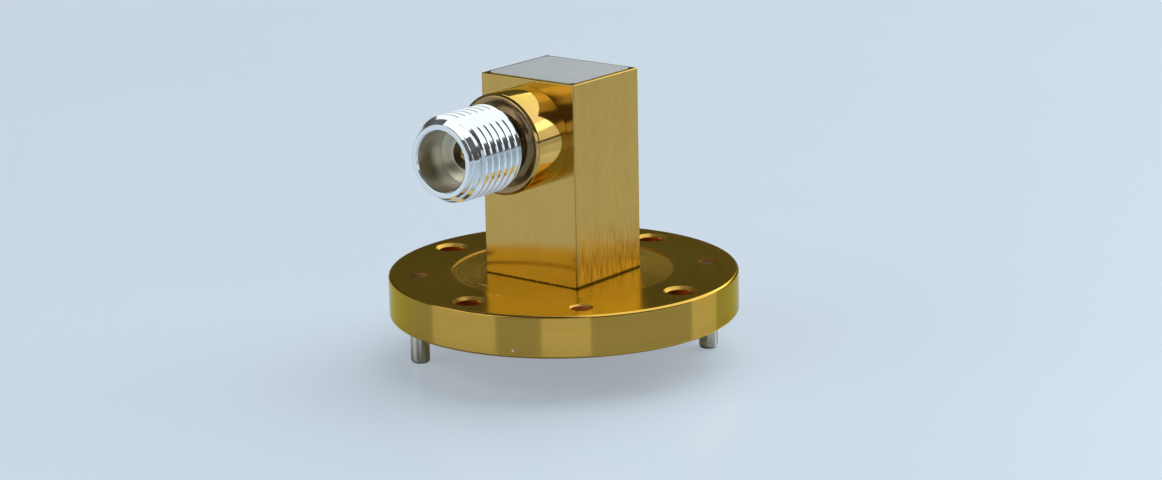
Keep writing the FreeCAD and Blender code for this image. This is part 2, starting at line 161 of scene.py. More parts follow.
class BlockSizes(PropertyGroup):
    edge_round: length("Edge round", "Radius of the block's softened edges", 0.0001)
    cap_margin: length("Cap margin", "Width of gold left around the cap", 0.00035)
    cap_depth: length("Cap depth", "Depth of the cap's seat", 0.0004)
    cap_corner: length("Cap corner", "Corner radius of the cap's seat", 0.0006)
    feed_bore: length("Feed bore", "Radius of the bore from the jack to the guide", 0.0012)
    spigot_bore: length("Spigot bore", "Radius of the bore that takes the collar's spigot", 0.003015)
    spigot_depth: length("Spigot depth", "Depth of that bore", 0.0012)
    steps: count("Steps", "Facets around the block's bores", 96)


class CollarSizes(PropertyGroup):
    radius: length("Radius", "Outer radius of the collar", COLLAR_HIGH.x)
    reach: length("Reach", "How far the collar stands out of the block", 0.00375)
    edge_break: length("Edge break", "Bevel on the collar's front edge", 0.0002)
    recess_radius: length("Recess radius", "Radius of the recess in the collar's front", 0.00335)
    recess_floor: length("Recess floor", "Station of that recess's floor", 0.0033)
    tail_bore: length("Tail bore", "Radius of the bore that holds the jack", 0.002565)
    tail_floor: length("Tail floor", "Station of that bore's floor", 0.0003)
    spigot_radius: length("Spigot radius", "Radius of the spigot in the block", 0.003)
    steps: count("Steps", "Facets around the collar", 192)


class JackSizes(PropertyGroup):
    thread_major: length("Thread crest", "Radius of the thread's crests", JACK_HIGH.x)
    thread_minor: length("Thread root", "Radius of the thread's roots", 0.00304)
    thread_pitch: length("Thread pitch", "Distance from one turn to the next", 0.00075)
    thread_rear: length("Thread rear", "Station of the thread's rear end", 0.0048)
    thread_front: length("Thread front", "Station where the nose begins", 0.0096)
    thread_entry: length("Thread entry", "Radius at the thread's bevelled rear end", 0.00325)
    nose_front: length("Nose front", "Station of the nose's front face", BLOCK_FRONT - JACK_LOW.y)
    nose_radius: length("Nose radius", "Radius of the nose's front face", 0.0029)
    nose_ring: length("Nose ring", "Length of the plain ring at the nose's front", 0.00015)
    neck_radius: length("Neck radius", "Radius of the plain neck behind the thread", 0.00285)
    mouth_radius: length("Mouth radius", "Radius of the open mouth", 0.002385)
    mouth_floor: length("Mouth floor", "Station of the mouth's floor", 0.0078)
    mouth_break: length("Mouth bevel", "Bevel on the mouth's rim", 0.00013)
    mouth_fillet: length("Mouth fillet", "Radius at the foot of the mouth", 0.00005)
    front_hole: length("Front hole", "Radius of the hole in the mouth's floor", 0.0012)
    bead_bore: length("Bead bore", "Radius of the bore that holds the bead", 0.001915)
    bead_front: length("Bead front", "Station of that bore's front end", 0.0058)
    tail_radius: length("Tail radius", "Radius of the tail in the collar", 0.00255)
    steps: count("Steps", "Facets around the jack", 144)
    rows: count("Rows", "Rows of faces in one turn of thread", 24)


class Colours(PropertyGroup):
    flange_gold: tint("Flange gold", "Plating on the flange", (0.545, 0.335, 0.065))
    block_gold: tint("Block gold", "Plating on the block and collar", (0.505, 0.335, 0.1))
    # The collar front's darker, browner gold is painted shade.
    front_gold_and_shade: tint("Face gold", "Browner gold on the collar's turned front", (0.3, 0.2, 0.1))
    gold_edge: tint("Gold edge", "Tint of the gold where it is seen at a low angle",
                    (1.0, 0.94, 0.45))
    worn_gold: tint("Worn gold", "Bright metal in the nicks and the scratch", (0.95, 0.88, 0.7))
    # The redder tint of this gold is a painted reflection of the gold in itself down in the holes.
    thread_gold: tint("Hole gold", "Redder plating down in the tapped holes", (0.62, 0.27, 0.06))
    contact_gold: tint("Contact gold", "Plating on the inner contact", (0.74, 0.52, 0.2))
    steel: tint("Steel", "Passivated steel of the jack", (0.71, 0.75, 0.775))
    bore_steel: tint("Bore steel", "Duller steel inside the mouth", (0.74, 0.7, 0.6))
    pin_steel: tint("Pin steel", "Ground steel of the two pins", (0.58, 0.55, 0.48))
    cap: tint("Cap", "Satin metal of the cap", (0.6, 0.625, 0.63))
    bead: tint("Bead", "Machined plastic of the beads", (0.80, 0.78, 0.70))
    floor: tint("Floor", "Pale floor", (0.71, 0.81, 0.915))
    room: tint("Room", "Dim room around the table", (1.0, 0.92, 0.74))
    overhead: tint("Overhead", "Room above the lamps", (0.90, 0.96, 1.0))
    lamp: tint("Lamp", "Light of the soft lamps", (0.93, 0.97, 1.0))


class StageSettings(PropertyGroup):
    azimuth: angle("Azimuth", "Camera's turn about the upright axis", 38.426)
    elevation: angle("Elevation", "Camera's height over the floor", 14.698)
    roll: angle("Roll", "Camera's lean about its line of sight", -1.072)
    distance: length("Distance", "Camera's distance", 0.262119)
    aim_right: length("Aim right", "Sideways offset of the view", -0.001360, least=-1.0)
    aim_up: length("Aim up", "Upward offset of the view", -0.005634, least=-1.0)
    lens: FloatProperty(name="Lens", description="Focal length in millimetres for a 36 mm sensor",
                        default=99.14, min=1.0)
    top_glow: glow("Top lamp", "Brightness of the large lamp overhead", 1.75)
    back_glow: glow("Back panel", "Brightness of the panel behind the jack", 1.2)
    side_glow: glow("Side panels", "Brightness of the low panels at both sides", 1.2)
    front_glow: glow("Front panel", "Brightness of the small panel in front", 1.2)
    sky_low: share("Sky low", "Brightness of the room near the horizon", 0.09)
    sky_middle: share("Sky middle", "Brightness of the room halfway up", 0.16)
    sky_high: share("Sky high", "Brightness of the room overhead", 0.1)
    floor_lift: share("Floor lift", "Share of the floor that is plain pale to the camera", 0.45)


# Meshes


def add_object(name, data):
    added = bpy.data.objects.new(name, data)
    bpy.context.scene.collection.objects.link(added)
    return added


def piece_from(name, work):
    mesh = bpy.data.meshes.new(name)
    work.to_mesh(mesh)
    work.free()
    return add_object(name, mesh)


def upright(radius, station, angle):
    # A turned piece that stands along +Z.
    return Vector((radius * math.cos(angle), radius * math.sin(angle), station))


def on_jack(radius, station, angle):
    # A turned piece on the jack's axis: the station counts outwards from the block's front.
    return Vector((radius * math.cos(angle), BLOCK_FRONT - station,
                   JACK_AXIS + radius * math.sin(angle)))


def soften(profile, size, closed=True, segments=4):
    # Rounds the corners of an outline. A corner with a third entry takes that size.
    rounded = []
    count = len(profile)
    for index, entry in enumerate(profile):
        corner = Vector(entry[:2])
        reach = entry[2] if len(entry) > 2 else size
        ends = not closed and index in (0, count - 1)
        before = Vector(profile[index - 1][:2]) - corner
        after = Vector(profile[(index + 1) % count][:2]) - corner
        reach = min(reach, before.length * 0.45, after.length * 0.45)
        if ends or reach <= 0.0:
            rounded.append(tuple(corner))
            continue
        start = corner + before.normalized() * reach
        end = corner + after.normalized() * reach
        for step in range(segments + 1):
            t = step / segments
            point = start * (1 - t) ** 2 + corner * 2 * t * (1 - t) + end * t ** 2
            rounded.append(tuple(point))
    return rounded


def lathe(work, profile, place, steps, closed=True, centre=Vector((0, 0, 0))):
    # Turns an outline of (radius, station) pairs. Points on the axis become one pole.
    rings = []
    for radius, station in profile:
        if radius < ON_AXIS:
            rings.append([work.verts.new(place(0.0, station, 0.0) + centre)])
        else:
            rings.append([work.verts.new(place(radius, station, TURN * k / steps) + centre)
                          for k in range(steps)])
    pairs = list(zip(rings, rings[1:]))
    if closed:
        pairs.append((rings[-1], rings[0]))
    for first, second in pairs:
        if len(first) == 1 and len(second) == 1:
            continue
        for k in range(steps):
            following = (k + 1) % steps
            if len(first) == 1:
                work.faces.new((first[0], second[following], second[k]))
            elif len(second) == 1:
                work.faces.new((first[k], first[following], second[0]))
            else:
                work.faces.new((first[k], first[following], second[following], second[k]))


def close_up(work, nearest=WELD):
    # Merges points that lie together and turns every face outwards.
    bmesh.ops.remove_doubles(work, verts=work.verts, dist=nearest)
    bmesh.ops.recalc_face_normals(work, faces=work.faces)


def turned(name, profile, place, steps, centre=Vector((0, 0, 0))):
    work = bmesh.new()
    on_axis = profile[0][0] < ON_AXIS and profile[-1][0] < ON_AXIS
    lathe(work, profile, place, steps, closed=not on_axis, centre=centre)
    close_up(work)
    return piece_from(name, work)


def rounded_rectangle(width, depth, corner, steps=6):
    points = []
    for turn, (x, y) in enumerate(((1, 1), (-1, 1), (-1, -1), (1, -1))):
        middle = Vector((x * (width / 2 - corner), y * (depth / 2 - corner)))
        for step in range(steps + 1):
            angle = math.pi / 2 * (turn + step / steps)
            points.append(middle + Vector((math.cos(angle), math.sin(angle))) * corner)
    return points


def prism(name, outline, low, high):
    work = bmesh.new()
    bottom = [work.verts.new((point.x, point.y, low)) for point in outline]
    top = [work.verts.new((point.x, point.y, high)) for point in outline]
    work.faces.new(bottom)
    work.faces.new(top)
    for k in range(len(outline)):
        following = (k + 1) % len(outline)
        work.faces.new((bottom[k], bottom[following], top[following], top[k]))
    bmesh.ops.recalc_face_normals(work, faces=work.faces)
    return piece_from(name, work)


def bake(piece):
    # Turns the piece with its modifiers into a plain mesh.
    graph = bpy.context.evaluated_depsgraph_get()
    mesh = bpy.data.meshes.new_from_object(piece.evaluated_get(graph))
    piece.modifiers.clear()
    old = piece.data
    piece.data = mesh
    bpy.data.meshes.remove(old)
    mesh.name = piece.name


def cut_away(piece, cutter):
    modifier = piece.modifiers.new("cut", "BOOLEAN")
    modifier.operation = "DIFFERENCE"
    modifier.solver = "EXACT"
    modifier.object = cutter
    bake(piece)
    bpy.data.objects.remove(cutter)


def shade(piece):
    # Smooth faces, sharp corners, and flat sides that stay flat beside small rounds.
    piece.data.shade_smooth()
    piece.data.set_sharp_from_angle(angle=SHARP_ANGLE)
    modifier = piece.modifiers.new("even", "WEIGHTED_NORMAL")
    modifier.keep_sharp = True
    bake(piece)


def hand_over(piece, material, slot, *nodes):
    # Shades a finished piece, gives it its material and hides the nodes that it stands for.
    shade(piece)
    piece.data.materials.clear()
    piece.data.materials.append(shared_material(material))
    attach(piece, "root")
    if nodes:
        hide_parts(*nodes)


def coat(node, material):
    # A CAD node keeps its own mesh and only takes a better material.
    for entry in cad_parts[node].material_slots:
        entry.material = shared_material(material)


# Nodes


def put(tree, kind, settings=None, inputs=None):
    node = tree.nodes.new(kind)
    for name, value in (settings or {}).items():
        setattr(node, name, value)
    for name, value in (inputs or {}).items():
        if isinstance(value, bpy.types.NodeSocket):
            tree.links.new(value, node.inputs[name])
        else:
            node.inputs[name].default_value = value
    return node


def number(tree, operation, *values, clamp=False):
    settings = {"operation": operation, "use_clamp": clamp}
    return put(tree, "ShaderNodeMath", settings, dict(enumerate(values))).outputs[0]


def times(tree, first, second):
    return number(tree, "MULTIPLY", first, second)


def parts_of(tree, vector):
    return put(tree, "ShaderNodeSeparateXYZ", None, {0: vector}).outputs


def length_of(tree, vector):
    return put(tree, "ShaderNodeVectorMath", {"operation": "LENGTH"}, {0: vector}).outputs["Value"]


def vector_of(tree, x, y, z):
    return put(tree, "ShaderNodeCombineXYZ", None, {0: x, 1: y, 2: z}).outputs[0]


def noise(tree, vector, scale, detail=2.0, roughness=0.5):
    node = put(tree, "ShaderNodeTexNoise", None, {
        "Vector": vector, "Scale": scale, "Detail": detail, "Roughness": roughness})
    return node.outputs[0]


def spread(tree, value, low, high, to_low=0.0, to_high=1.0):
    node = put(tree, "ShaderNodeMapRange", {"clamp": True}, {
        "Value": value, "From Min": low, "From Max": high, "To Min": to_low, "To Max": to_high})
    return node.outputs[0]


def fade(tree, value, low, high):
    # 1 up to the low value, then down to 0 at the high one.
    return spread(tree, value, low, high, 1.0, 0.0)


def pick(tree, mask, off, on):
    # One number where the mask is 0, and the other where it is 1.
    return spread(tree, mask, 0.0, 1.0, off, on)


def blend(tree, factor, first, second):
    node = put(tree, "ShaderNodeMix", {"data_type": "RGBA"}, {0: factor, 6: first, 7: second})
    return node.outputs[2]


def new_group(name, numbers, results):
    # A shader node group that takes a vector and these numbers. Returns the tree, the sockets
    # that it is given and those of its results.
    group = bpy.data.node_groups.new(name, "ShaderNodeTree")
    group.interface.new_socket(name="Vector", in_out="INPUT", socket_type="NodeSocketVector")
    for label, default in numbers.items():
        socket = group.interface.new_socket(name=label, in_out="INPUT",
                                            socket_type="NodeSocketFloat")
        socket.default_value = default
    for label in results:
        group.interface.new_socket(name=label, in_out="OUTPUT", socket_type="NodeSocketFloat")
    return group, put(group, "NodeGroupInput").outputs, put(group, "NodeGroupOutput").inputs


def distance_from_axis(tree, place):
    flat = put(tree, "ShaderNodeVectorMath", {"operation": "MULTIPLY"}, {
        0: place, 1: (1.0, 1.0, 0.0)})
    return length_of(tree, flat.outputs[0])


def build_turned_marks():
    # Fine lines left by the lathe, around the pattern's own Z.
    group, given, result = new_group("turned_marks", {"Rings": 9000.0}, ("Lines", "Bands"))
    parts = parts_of(group, given["Vector"])
    across = times(group, distance_from_axis(group, given["Vector"]), given["Rings"])
    along = times(group, parts[2], given["Rings"])
    place = vector_of(group, across, along, times(group, parts[0], 60.0))
    group.links.new(noise(group, place, 1.0, 3.0, 0.6), result["Lines"])
    group.links.new(noise(group, place, 0.13), result["Bands"])
    return group


def build_brushed_lines():
    # Fine straight lines that run up the piece.
    group, given, result = new_group("brushed_lines", {"Across": 14000.0, "Along": 250.0},
                                     ("Lines", "Streaks"))
    stretched = [times(group, part, given[label]) for part, label
                 in zip(parts_of(group, given["Vector"]), ("Across", "Across", "Along"))]
    place = vector_of(group, *stretched)
    group.links.new(noise(group, place, 1.0, 3.0, 0.6), result["Lines"])
    group.links.new(noise(group, place, 0.12), result["Streaks"])
    return group


def build_plating_mottle():
    # Slow clouds and a few tiny specks in the plating.
    group, given, result = new_group("plating_mottle", {"Clouds": 350.0, "Specks": 1500.0},
                                     ("Cloud", "Speck"))
    cloud = noise(group, given["Vector"], given["Clouds"], 4.0, 0.55)
    cells = put(group, "ShaderNodeTexVoronoi", None, {
        "Vector": given["Vector"], "Scale": given["Specks"]})
    near = fade(group, cells.outputs["Distance"], 0.03, 0.11)
    rare = number(group, "GREATER_THAN", noise(group, given["Vector"], 900.0, 0.0), 0.6)
    group.links.new(spread(group, cloud, 0.3, 0.7), result["Cloud"])
    group.links.new(times(group, near, rare), result["Speck"])
    return group


def shared_group(name):
    builders = {"turned_marks": build_turned_marks, "brushed_lines": build_brushed_lines,
                "plating_mottle": build_plating_mottle}
    return bpy.data.node_groups.get(name) or builders[name]()


def use_group(tree, name, inputs):
    return put(tree, "ShaderNodeGroup", {"node_tree": shared_group(name)}, inputs).outputs


def new_material(name, metallic=1.0, edge=(1.0, 1.0, 1.0)):
    # A fresh material's tree and shader. The edge tints a metal that is seen at a low angle.
    material = bpy.data.materials.new(name)
    material.use_nodes = True
    tree = material.node_tree
    shader = tree.nodes["Principled BSDF"]
    shader.inputs["Metallic"].default_value = metallic
    shader.inputs["Specular Tint"].default_value = scaled(edge, 1.0)
    return tree, shader


def object_place(tree, along_jack=False):
    coordinates = put(tree, "ShaderNodeTexCoord").outputs["Object"]
    if not along_jack:
        return coordinates
    # Turns the pattern so that its Z is the jack's outward direction.
    centred = put(tree, "ShaderNodeMapping", {"vector_type": "TEXTURE"}, {
        "Vector": coordinates, "Location": (0.0, 0.0, JACK_AXIS),
        "Rotation": (math.pi / 2, 0.0, 0.0)})
    return centred.outputs[0]


def scaled(colour, amount):
    return (colour[0] * amount, colour[1] * amount, colour[2] * amount, 1.0)


def wire(tree, shader, tone, rough, height, strength=1.0):
    # Gives the shader its colour and roughness, and the fine relief of its marks.
    relief = put(tree, "ShaderNodeBump", None, {
        "Height": height, "Strength": strength, "Distance": MARK_DEPTH})
    for label, value in (("Base Color", tone), ("Roughness", rough),
                         ("Normal", relief.outputs["Normal"])):
        tree.links.new(value, shader.inputs[label])


def grained(tree, lines, amount, rough):
    # A roughness that rises with the fine lines.
    return number(tree, "MULTIPLY_ADD", lines, amount, rough)


def turned_tone(tree, place, colour, rings, grain, mottle):
    # Colour of turned metal, with its fine lathe lines and slower bands.
    marks = use_group(tree, "turned_marks", {"Vector": place, "Rings": rings})
    plating = use_group(tree, "plating_mottle", {"Vector": place})
    bands = spread(tree, marks["Bands"], 0.3, 0.7)
    tone = blend(tree, times(tree, bands, grain), scaled(colour, 1.06), scaled(colour, 0.86))
    cloudy = times(tree, plating["Cloud"], mottle * 0.5)
    tone = blend(tree, cloudy, tone, scaled((colour[0], colour[1] * 0.93, colour[2] * 0.8), 0.9))
    tone = blend(tree, times(tree, plating["Speck"], 0.5), tone, scaled(colour, 0.45))
    return tone, marks["Lines"], bands


def turned_metal(name, colour, roughness, rings, along_jack=False, relief=0.25):
    # Metal as it comes off a lathe, with or without plating.
    tree, shader = new_material(name)
    place = object_place(tree, along_jack)
    tone, lines, _ = turned_tone(tree, place, colour, rings, 0.5, 0.5)
    wire(tree, shader, tone, grained(tree, lines, 0.1, roughness - 0.05), lines, relief)


def facing_along(tree, axis):
    # 1 where a face looks along this axis, 0 where it stands along it.
    facing = parts_of(tree, put(tree, "ShaderNodeTexCoord").outputs["Normal"])
    return number(tree, "ABSOLUTE", facing[axis])


def upright_walls(tree):
    return fade(tree, facing_along(tree, 2), 0.3, 0.8)


def small_mark(tree, place, centre, reach, turn):
    # 1 inside a small oval, with a soft edge.
    local = put(tree, "ShaderNodeMapping", {"vector_type": "TEXTURE"}, {
        "Vector": place, "Location": centre, "Rotation": (0.0, 0.0, turn), "Scale": reach})
    return fade(tree, length_of(tree, local.outputs[0]), 0.6, 1.0)


def flange_metal(name, colours, sizes):
    # Turned gold: smooth rim and outer ring, hazier recess, redder walls down in the holes, whose
    # redder tint is a painted reflection of the gold in itself.
    tree, shader = new_material(name, edge=colours.gold_edge)
    place = object_place(tree)
    tone, lines, bands = turned_tone(tree, place, colours.flange_gold, 4500.0, 0.8, 0.6)
    radius = distance_from_axis(tree, place)
    recess = fade(tree, radius, sizes.recess_radius - 0.0002, sizes.recess_radius)
    outside = number(tree, "GREATER_THAN", radius, sizes.radius - 0.0005)
    walls = upright_walls(tree)
    rim = times(tree, walls, outside)
    in_hole = number(tree, "SUBTRACT", walls, rim)
    rough = grained(tree, bands, 0.06, pick(tree, recess, 0.1, 0.2))
    rough = grained(tree, lines, 0.08, rough)
    rough = number(tree, "MAXIMUM", grained(tree, rim, -0.1, rough), 0.06)
    # The countersinks and the step round the recess are left as cut.
    sloped = fade(tree, facing_along(tree, 2), 0.9, 0.985)
    sloped = times(tree, sloped, number(tree, "SUBTRACT", 1.0, outside))
    rough = number(tree, "MAXIMUM", rough, times(tree, sloped, 0.36))
    worn = 0.0
    for mark in FLANGE_MARKS:
        worn = number(tree, "MAXIMUM", worn, small_mark(tree, place, *mark))
    rough = number(tree, "MAXIMUM", rough, times(tree, worn, 0.55))
    # Painted reflection: the hole walls take the redder gold.
    tone = blend(tree, in_hole, tone, scaled(colours.thread_gold, 1.0))
    tone = blend(tree, worn, tone, scaled(colours.worn_gold, 1.0))
    wire(tree, shader, tone, rough, times(tree, lines, pick(tree, recess, 0.12, 0.2)))
    tree.links.new(pick(tree, in_hole, 1.0, 0.45), shader.inputs["Metallic"])
    shader.inputs["Anisotropic"].default_value = 0.5
    radial = put(tree, "ShaderNodeTangent", {"direction_type": "RADIAL", "axis": "Z"})
    tree.links.new(radial.outputs[0], shader.inputs["Tangent"])


def jack_metal(name, colours, sizes):
    # Bright turned steel outside, duller in the bore of the mouth.
    tree, shader = new_material(name)
    place = object_place(tree, along_jack=True)
    tone, lines, bands = turned_tone(tree, place, colours.steel, 8000.0, 0.3, 0.15)
    dull = colours.bore_steel
    bore = fade(tree, distance_from_axis(tree, place), sizes.mouth_radius + 0.00002,
                sizes.mouth_radius + 0.00008)
    tone = blend(tree, bore, tone, blend(tree, bands, scaled(dull, 1.1), scaled(dull, 0.8)))
    rough = grained(tree, lines, 0.1, pick(tree, bore, 0.045, 0.25))
    wire(tree, shader, tone, rough, lines, 0.04)


def collar_metal(name, colours):
    # Polished gold, with a duller front left by the lathe. The front's darker, browner gold is
    # painted shade.
    tree, shader = new_material(name, edge=colours.gold_edge)
    place = object_place(tree, along_jack=True)
    tone, lines, bands = turned_tone(tree, place, colours.block_gold, 8000.0, 0.5, 0.5)
    front_shade_tone = colours.front_gold_and_shade
    front = spread(tree, facing_along(tree, 1), 0.85, 0.98)
    # Painted shade: the front takes a darker, browner gold.
    tone = blend(tree, front, tone, blend(tree, bands, scaled(front_shade_tone, 1.2), scaled(front_shade_tone, 0.8)))
    rough = grained(tree, lines, 0.1, pick(tree, front, 0.04, 0.2))
    wire(tree, shader, tone, rough, lines, 0.05)


def pin_metal(name, colour):
    # Ground steel whose flat ends are duller than its side, and painted darker as shade.
    tree, shader = new_material(name)
    tone, lines, _ = turned_tone(tree, object_place(tree), colour, 6000.0, 0.4, 0.2)
    side = upright_walls(tree)
    rough = grained(tree, lines, 0.06, pick(tree, side, 0.24, 0.08))
    # Painted shade: the flat ends take a much darker copy of the steel.
    wire(tree, shader, blend(tree, side, scaled(colour, 0.4), tone), rough, lines, 0.05)


def block_metal(name, colour, edge):
    # Gold block: polished towards the jack, finely brushed on its other sides.
    tree, shader = new_material(name, edge=edge)
    place = object_place(tree)
    brushed = spread(tree, facing_along(tree, 0), 0.3, 0.8)
    brush = use_group(tree, "brushed_lines", {"Vector": place})
    lines = brush["Lines"]
    plating = use_group(tree, "plating_mottle", {"Vector": place})
    clouded = scaled((colour[0] * 0.97, colour[1] * 0.93, colour[2] * 0.8), 0.93)
    tone = blend(tree, times(tree, plating["Cloud"], 0.3), scaled(colour, 1.03), clouded)
    streak = spread(tree, brush["Streaks"], 0.35, 0.7)
    tone = blend(tree, times(tree, streak, 0.25), tone, scaled(colour, 0.82))
    tone = blend(tree, times(tree, plating["Speck"], 0.5), tone, scaled(colour, 0.4))
    # Painted shade near the flange: darker streaks on the brushed sides that fade out upwards, and a
    # ragged near-black line of painted shade in the gap where the brushed sides meet the flange.
    upward = parts_of(tree, place)[2]
    low_part = spread(tree, upward, FLANGE_HIGH.z, FLANGE_HIGH.z + 0.005, 1.0, 0.12)
    foot_lines = use_group(tree, "brushed_lines", {"Vector": place, "Across": 6000.0, "Along": 600.0})
    streak_shade = spread(tree, foot_lines["Lines"], 0.42, 0.64)
    streak_shade = times(tree, streak_shade, times(tree, low_part, brushed))
    shadow = scaled((colour[0], colour[1] * 0.9, colour[2] * 0.6), 0.35)
    tone = blend(tree, times(tree, streak_shade, 0.85), tone, shadow)
    # Painted shade: a ragged near-black line at the block's foot, standing in for the shade in the
    # gap over the flange.
    foot = number(tree, "SUBTRACT", upward, times(tree, lines, 0.0003))
    foot = number(tree, "SUBTRACT", foot, pick(tree, brushed, -0.00008, 0.0))
    foot_gap_shade = spread(tree, foot, FLANGE_HIGH.z - 0.0001, FLANGE_HIGH.z - 0.00004, 0.9, 0.0)
    tone = blend(tree, foot_gap_shade, tone, scaled(colour, 0.08))
    rough = grained(tree, lines, 0.08, pick(tree, brushed, 0.1, 0.25))
    wire(tree, shader, tone, rough, times(tree, lines, pick(tree, brushed, 0.03, 0.2)))


def satin_metal(name, colour):
    # Plain cap plate with a fine grain across it.
    tree, shader = new_material(name)
    place = object_place(tree)
    across = put(tree, "ShaderNodeMapping", {"vector_type": "TEXTURE"}, {
        "Vector": place, "Rotation": (0.0, math.pi / 2, 0.0)}).outputs[0]
    brush = use_group(tree, "brushed_lines", {"Vector": across, "Across": 9000.0, "Along": 500.0})
    plating = use_group(tree, "plating_mottle", {"Vector": place, "Clouds": 500.0})
    tone = blend(tree, times(tree, plating["Cloud"], 0.4), scaled(colour, 1.04),
                 scaled(colour, 0.85))
    tone = blend(tree, times(tree, brush["Streaks"], 0.3), tone, scaled(colour, 0.9))
    wire(tree, shader, tone, grained(tree, brush["Lines"], 0.12, 0.46), brush["Lines"], 0.25)


def machined_plastic(name, colour):
    tree, shader = new_material(name, metallic=0.0)
    place = object_place(tree, along_jack=True)
    marks = use_group(tree, "turned_marks", {"Vector": place, "Rings": 12000.0})
    tone = blend(tree, marks["Bands"], scaled(colour, 1.0), scaled(colour, 0.88))
    rough = spread(tree, marks["Lines"], 0.2, 0.8, 0.38, 0.52)
    wire(tree, shader, tone, rough, marks["Lines"], 0.2)


def shared_material(name):
    # The names differ from the record's slots, whose plain materials are there already.
    scene = bpy.context.scene
    colours = scene.adapter_colours
    finishes = {
        "flange_gold": (flange_metal, colours, scene.adapter_flange),
        # The hole threads' redder gold, a painted reflection of the gold in itself.
        "thread_gold": (turned_metal, colours.thread_gold, 0.3, 9000.0),
        "block_gold": (block_metal, colours.block_gold, colours.gold_edge),
        "collar_gold": (collar_metal, colours),
        "contact_plating": (turned_metal, colours.contact_gold, 0.2, 12000.0, True, 0.1),
        "turned_steel": (jack_metal, colours, scene.adapter_jack),
        "ground_steel": (pin_metal, colours.pin_steel),
        "satin_cap": (satin_metal, colours.cap),
        "machined_plastic": (machined_plastic, colours.bead),
        "pale_floor": (floor_material, colours.floor, scene.adapter_stage.floor_lift),
    }
    if name not in bpy.data.materials:
        build, *values = finishes[name]
        build(name, *values)
    return bpy.data.materials[name]


# Thread


def build_thread_tree():
    # A helical thread on +Z whose rows of faces follow the helix. The rear end starts at the
    # neck, and both ends are cut by a bevel and a cone.
    tree = bpy.data.node_groups.new("helical_thread", "GeometryNodeTree")
    tree.interface.new_socket(name="Geometry", in_out="INPUT", socket_type="NodeSocketGeometry")
    for name, kind in (("Columns", "NodeSocketInt"), ("Rows", "NodeSocketInt"),
                       ("Pitch", "NodeSocketFloat"), ("Start", "NodeSocketFloat"),
                       ("Length", "NodeSocketFloat"), ("Crest", "NodeSocketFloat"),
                       ("Root", "NodeSocketFloat"), ("Neck", "NodeSocketFloat"),
                       ("Entry", "NodeSocketFloat"), ("Cone Start", "NodeSocketFloat"),
                       ("Cone Slope", "NodeSocketFloat"), ("Weld", "NodeSocketFloat"),
                       ("Material", "NodeSocketMaterial")):
        tree.interface.new_socket(name=name, in_out="INPUT", socket_type=kind)
    tree.interface.new_socket(name="Geometry", in_out="OUTPUT", socket_type="NodeSocketGeometry")
    given = put(tree, "NodeGroupInput").outputs
    result = put(tree, "NodeGroupOutput")
    grid = put(tree, "GeometryNodeMeshGrid", None, {
        "Size X": 1.0, "Size Y": 1.0,
        "Vertices X": number(tree, "ADD", given["Columns"], 1.0),
        "Vertices Y": number(tree, "ADD", given["Rows"], 1.0)})
    place = put(tree, "ShaderNodeSeparateXYZ", None, {
        0: put(tree, "GeometryNodeInputPosition").outputs[0]})
    around = number(tree, "ADD", place.outputs[0], 0.5)
    upward = number(tree, "ADD", place.outputs[1], 0.5)
    # Phase counts pitches along one row of faces.
    pitches = number(tree, "ADD", number(tree, "DIVIDE", given["Length"], given["Pitch"]), 1.0)
    first = number(tree, "SUBTRACT", number(tree, "DIVIDE", given["Start"], given["Pitch"]), 1.0)
    travelled = number(tree, "MULTIPLY", upward, pitches)
    phase = number(tree, "ADD", travelled, first)
    raw = number(tree, "MULTIPLY", number(tree, "ADD", phase, around), given["Pitch"])
    end = number(tree, "ADD", given["Start"], given["Length"])
    station = number(tree, "MINIMUM", number(tree, "MAXIMUM", raw, given["Start"]), end)
    # Flat roots and crests with straight flanks between them.
    wave = number(tree, "FRACT", number(tree, "ADD", travelled, 0.0001))
    wave = number(tree, "ABSOLUTE", number(tree, "MULTIPLY_ADD", wave, 2.0, -1.0))
    rise = number(tree, "DIVIDE", number(tree, "SUBTRACT", wave, 0.25), 7.0 / 12.0, clamp=True)
    depth = number(tree, "SUBTRACT", given["Crest"], given["Root"])
    radius = number(tree, "MULTIPLY_ADD", rise, depth, given["Root"])
    gone = number(tree, "SUBTRACT", station, given["Start"])
    wall = number(tree, "MULTIPLY_ADD", gone, 12.0, given["Neck"])
    bevel = number(tree, "ADD", gone, given["Entry"])
    beyond = number(tree, "SUBTRACT", station, given["Cone Start"])
    cone = number(tree, "MULTIPLY_ADD", beyond, given["Cone Slope"], given["Crest"])
    for limit in (wall, bevel, cone):
        radius = number(tree, "MINIMUM", radius, limit)
    angle = number(tree, "MULTIPLY", around, TURN)
    x = number(tree, "MULTIPLY", radius, number(tree, "COSINE", angle))
    y = number(tree, "MULTIPLY", radius, number(tree, "SINE", angle))
    moved = put(tree, "GeometryNodeSetPosition", None, {
        "Geometry": grid.outputs["Mesh"], "Position": vector_of(tree, x, y, station)})
    welded = put(tree, "GeometryNodeMergeByDistance", None, {
        "Geometry": moved.outputs[0], "Distance": given["Weld"]})
    real = put(tree, "GeometryNodeRealizeInstances", None, {"Geometry": welded.outputs[0]})
    dressed = put(tree, "GeometryNodeSetMaterial", None, {
        "Geometry": real.outputs[0], "Material": given["Material"]})
    tree.links.new(dressed.outputs[0], result.inputs[0])
    return tree


